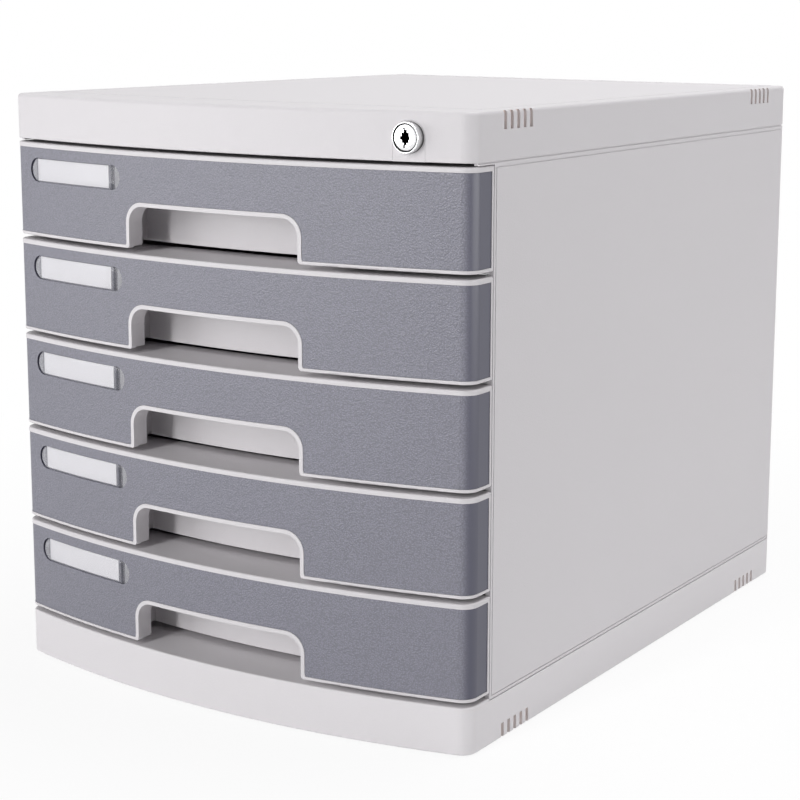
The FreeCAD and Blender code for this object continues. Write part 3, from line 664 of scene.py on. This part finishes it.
# The trays and the base take the lighter copy, as painted light.
NODE_MATERIALS = {"drawer_%d_tray" % number: painted_light_plastic for number in DRAWERS}
NODE_MATERIALS["base"] = base_plastic
NODE_MATERIALS["top_cover"] = cover_plastic
NODE_MATERIALS["lock_housing"] = barrel_shaded_chrome
for part in frame["record"]["subparts"]:
    node = nodes[part["node"]]
    material = NODE_MATERIALS.get(part["node"], SLOT_MATERIALS[part["material_slot"]])
    if not node.material_slots:
        node.data.materials.append(material)
    for node_slot in node.material_slots:
        node_slot.material = material
print("dressed", len(nodes), "parts")

# %% [markdown]
# ## The key plug
#
# The plug of a small cam lock is turned from zinc and chromed: a slightly domed head, a core that runs
# back through the barrel, and a thin neck that carries the cam. Its keyway is broached, so its sides
# step in and out to match the key. The turned shape is a profile spun round the lock's axis, and the
# keyway is an outline pushed back into it and cut away.

# %% Key plug sizes
PLUG_SEGMENTS = 72
PLUG_PROFILE_HEAD = [
    # radius and distance behind the face, mm
    (0.0, 0.0), (2.8, 0.02), (4.6, 0.08), (5.3, 0.16), (5.55, 0.45), (5.6, 1.1), (6.1, 1.15), (6.1, 1.4),
    (3.75, 1.4),
]
PLUG_CORE_RADIUS = 3.75 * MM
PLUG_NECK_RADIUS = 2.0 * MM
PLUG_SMOOTH_ANGLE = math.radians(30)
CAM_THICKNESS = 2.0 * MM
KEYWAY_DEPTH = 8.0 * MM
KEYWAY_LEAD = 1.0 * MM
KEYWAY_STEPS = [
    # bottom, top, left side and right side of each step of the keyway, mm from the axis
    (-4.3, -3.1, -0.8, 0.0), (-3.1, -2.2, -0.6, 1.0), (-2.2, -0.9, -1.5, 2.0), (-0.9, 0.7, -2.5, 2.4),
    (0.7, 2.2, -1.6, 2.1), (2.2, 3.4, -0.6, 1.1), (3.4, 4.3, -1.0, 0.1),
]
# Painted shade behind the plug's face: the keyway and the groove go dark from this depth.
SHADE_STARTS = 0.25 * MM
SHADE_FULL = 0.6 * MM
KEYWAY_SHADE_COLOR = (0.012, 0.011, 0.011)
SAME_POINT = 0.001 * MM
print("keyway of", len(KEYWAY_STEPS), "steps")

# %% [markdown]
# An outline in code becomes a mesh first, and edit mode does the rest: spin turns the plug's profile
# into a body, and extrude pushes the keyway's face back into a cutter. Edit mode works on whatever is
# picked, so each step picks its own piece. The cutter starts a little before the face, so that no two
# faces lie in one place when the keyway is cut.

# %% A mesh from points, and the one piece to work on
def mesh_object(name, vertices, edges, faces):
    mesh = bpy.data.meshes.new(name)
    mesh.from_pydata(vertices, edges, faces)
    piece = bpy.data.objects.new(name, mesh)
    bpy.context.scene.collection.objects.link(piece)
    return piece


def pick(piece):
    bpy.ops.object.select_all(action="DESELECT")
    piece.select_set(True)
    bpy.context.view_layer.objects.active = piece


print("one piece is picked at a time")

# %% Turning a profile
def spin_profile(name, profile, center):
    """Turn (radius, distance back) pairs round the axis that runs along Y through center."""
    points = [(center.x, center.y + back, center.z + radius) for radius, back in profile]
    piece = mesh_object(name, points, [(i, i + 1) for i in range(len(points) - 1)], [])
    pick(piece)
    bpy.ops.object.mode_set(mode="EDIT")
    bpy.ops.mesh.select_all(action="SELECT")
    bpy.ops.mesh.spin(steps=PLUG_SEGMENTS, angle=2 * math.pi, center=center, axis=(0, 1, 0))
    bpy.ops.mesh.select_all(action="SELECT")
    bpy.ops.mesh.remove_doubles(threshold=SAME_POINT)
    bpy.ops.mesh.normals_make_consistent(inside=False)
    bpy.ops.object.mode_set(mode="OBJECT")
    return piece


print("profiles are turned in", PLUG_SEGMENTS, "steps")

# %% The keyway's cutter
def keyway_cutter(center):
    """The keyway's stepped outline, from before the face to the bottom of the keyway."""
    right = []
    left = []
    for bottom, top, left_side, right_side in KEYWAY_STEPS:
        right += [(right_side, bottom), (right_side, top)]
        left += [(left_side, bottom), (left_side, top)]
    outline = right + left[::-1]
    start = center.y - KEYWAY_LEAD
    points = [(center.x + x * MM, start, center.z + z * MM) for x, z in outline]
    cutter = mesh_object("keyway_cutter", points, [], [list(range(len(points)))])
    pick(cutter)
    bpy.ops.object.mode_set(mode="EDIT")
    bpy.ops.mesh.select_all(action="SELECT")
    bpy.ops.mesh.extrude_region_move(TRANSFORM_OT_translate={"value": (0, KEYWAY_DEPTH + KEYWAY_LEAD, 0)})
    bpy.ops.mesh.select_all(action="SELECT")
    bpy.ops.mesh.normals_make_consistent(inside=False)
    bpy.ops.object.mode_set(mode="OBJECT")
    return cutter


print("keyway %.1f mm deep" % (KEYWAY_DEPTH / MM))

# %% Key plug
def make_key_plug():
    low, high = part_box("lock_plug")
    center = Vector(((low[0] + high[0]) / 2, low[1], (low[2] + high[2]) / 2))
    neck_end = high[1] - low[1]
    cam_front = neck_end - CAM_THICKNESS
    profile = [(radius * MM, back * MM) for radius, back in PLUG_PROFILE_HEAD]
    profile += [(PLUG_CORE_RADIUS, cam_front), (PLUG_NECK_RADIUS, cam_front)]
    profile += [(PLUG_NECK_RADIUS, neck_end), (0.0, neck_end)]
    plug = spin_profile("key_plug", profile, center)
    cutter = keyway_cutter(center)
    pick(plug)
    cut = plug.modifiers.new("keyway", "BOOLEAN")
    cut.object = cutter
    cut.operation = "DIFFERENCE"
    cut.solver = "EXACT"
    bpy.ops.object.modifier_apply(modifier=cut.name)
    bpy.data.objects.remove(cutter)
    bpy.ops.object.shade_smooth_by_angle(angle=PLUG_SMOOTH_ANGLE)
    # The plug's chrome darkens behind its face as painted shade.
    plug.data.materials.append(chrome_with_painted_shade(
        "plug_shaded_chrome", center.y + SHADE_STARTS, center.y + SHADE_FULL, KEYWAY_SHADE_COLOR))
    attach(plug, "lock")
    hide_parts("lock_plug")
    return plug


key_plug = make_key_plug()
print("key plug", len(key_plug.data.polygons), "faces")

# %% [markdown]
# ## Label windows
#
# Each label holder has a clear moulded window that follows the bow of the front. It is a little
# shorter than its pocket and pushed to the right, so a dark crescent of the pocket shows at its left
# end. Its ends are frosted finger pads, the right one with fine upright ribs, so that the window can
# be slid out to change the card. One grid is bent, cut to a bar with round ends and ribbed by moving
# its columns, its edge rolls back, and a solidify modifier gives it its thickness.

# %% Label window sizes
WINDOW_INSET = 0.35 * MM
WINDOW_THICKNESS = 0.9 * MM
WINDOW_EDGE_ROUND = 0.3 * MM
WINDOW_SMOOTH_ANGLE = math.radians(35)
WINDOW_LEFT_GAP = 1.2 * MM
LEFT_PAD = 3.8 * MM
RIGHT_PAD = 3.2 * MM
STRIP_WIDTH = 3.3 * MM
RIB_PITCH = 0.9 * MM
RIB_HEIGHT = 0.25 * MM
LEFT_PAD_FROST = 0.35
RIB_FROST = (0.1, 1.0)
END_COLUMN_INSET = 0.02 * MM
ROLL_STARTS = 0.9
WINDOW_ROWS = [-1.0, -0.97, -0.9, -0.5, 0.0, 0.5, 0.9, 0.97, 1.0]
MIDDLE_STEPS = 40
print("window ribs every %.1f mm" % (RIB_PITCH / MM))

# %% [markdown]
# The columns of the grid are close together in the pads, where the ribs and the round ends need them,
# and wide apart over the card. At each column the code works out how tall the bar is there, how deep
# the valley between two ribs is, and the two stored values that the clear plastic reads.

# %% Shape of a window along its length
def window_columns(low_x, high_x):
    """Places of the sheet's columns: fine steps in the pads and wide ones between them."""
    step = RIB_PITCH / 4
    left = [low_x + END_COLUMN_INSET]
    left += [low_x + step * count for count in range(1, round(LEFT_PAD / step) + 1)]
    right = [high_x - step * count for count in range(round(RIGHT_PAD / step), 0, -1)]
    right += [high_x - END_COLUMN_INSET]
    span = right[0] - left[-1]
    middle = [left[-1] + span * count / MIDDLE_STEPS for count in range(1, MIDDLE_STEPS)]
    return left + middle + right


def bar_half_height(from_end, radius):
    """Half the height of a bar with round ends, at this distance from its nearer end."""
    if from_end >= radius:
        return radius
    return math.sqrt(radius ** 2 - (radius - from_end) ** 2)


def pad_values(from_left, from_right):
    """Depth of the valley between ribs, frost and shade at this place along the window."""
    if from_right < RIGHT_PAD:
        crest = 0.5 + 0.5 * math.cos(2 * math.pi * from_right / RIB_PITCH)
        return RIB_HEIGHT * (1.0 - crest), RIB_FROST[0] + (RIB_FROST[1] - RIB_FROST[0]) * crest, 0.0
    frost = LEFT_PAD_FROST if from_left < LEFT_PAD else 0.0
    shade = 1.0 if from_right < RIGHT_PAD + STRIP_WIDTH else 0.0
    return 0.0, frost, shade


print("pads of %.1f and %.1f mm" % (LEFT_PAD / MM, RIGHT_PAD / MM))

# %% Label windows
def make_label_window(number):
    low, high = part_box("drawer_%d_label_window" % number)
    low_x = low[0] + WINDOW_LEFT_GAP
    high_x = high[0]
    radius = (high[2] - low[2]) / 2
    center_z = (high[2] + low[2]) / 2
    vertices = []
    stored = {"frost": [], "shade": []}
    columns = window_columns(low_x, high_x)
    for x in columns:
        half_height = bar_half_height(min(x - low_x, high_x - x), radius)
        valley, frost, shade = pad_values(x - low_x, high_x - x)
        for row in WINDOW_ROWS:
            rolled = WINDOW_EDGE_ROUND * max(0.0, abs(row) - ROLL_STARTS) / (1.0 - ROLL_STARTS)
            vertices.append((x, bow_y(x, WINDOW_INSET + max(valley, rolled)), center_z + row * half_height))
            stored["frost"].append(frost)
            stored["shade"].append(shade)
    rows = len(WINDOW_ROWS)
    faces = []
    for column in range(len(columns) - 1):
        for row in range(rows - 1):
            first = column * rows + row
            faces.append((first, first + rows, first + rows + 1, first + 1))
    window = mesh_object("label_window_%d" % number, vertices, [], faces)
    for name, values in stored.items():
        window.data.attributes.new(name, "FLOAT", "POINT").data.foreach_set("value", values)
    pick(window)
    thicken = window.modifiers.new("thickness", "SOLIDIFY")
    thicken.thickness = WINDOW_THICKNESS - WINDOW_EDGE_ROUND
    thicken.offset = -1.0
    bpy.ops.object.modifier_apply(modifier=thicken.name)
    bpy.ops.object.shade_smooth_by_angle(angle=WINDOW_SMOOTH_ANGLE)
    window.data.materials.append(clear_plastic)
    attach(window, "drawer_%d" % number)
    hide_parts("drawer_%d_label_window" % number)
    return window


label_windows = [make_label_window(number) for number in DRAWERS]
print("label windows", len(label_windows), "of", len(label_windows[0].data.polygons), "faces")

# %% [markdown]
# ## Finish
#
# The last line counts the pieces made here and the parts they sit on.

# %% Finish
print("pieces", len(label_windows) + 1, "made here, on", len(nodes), "parts")
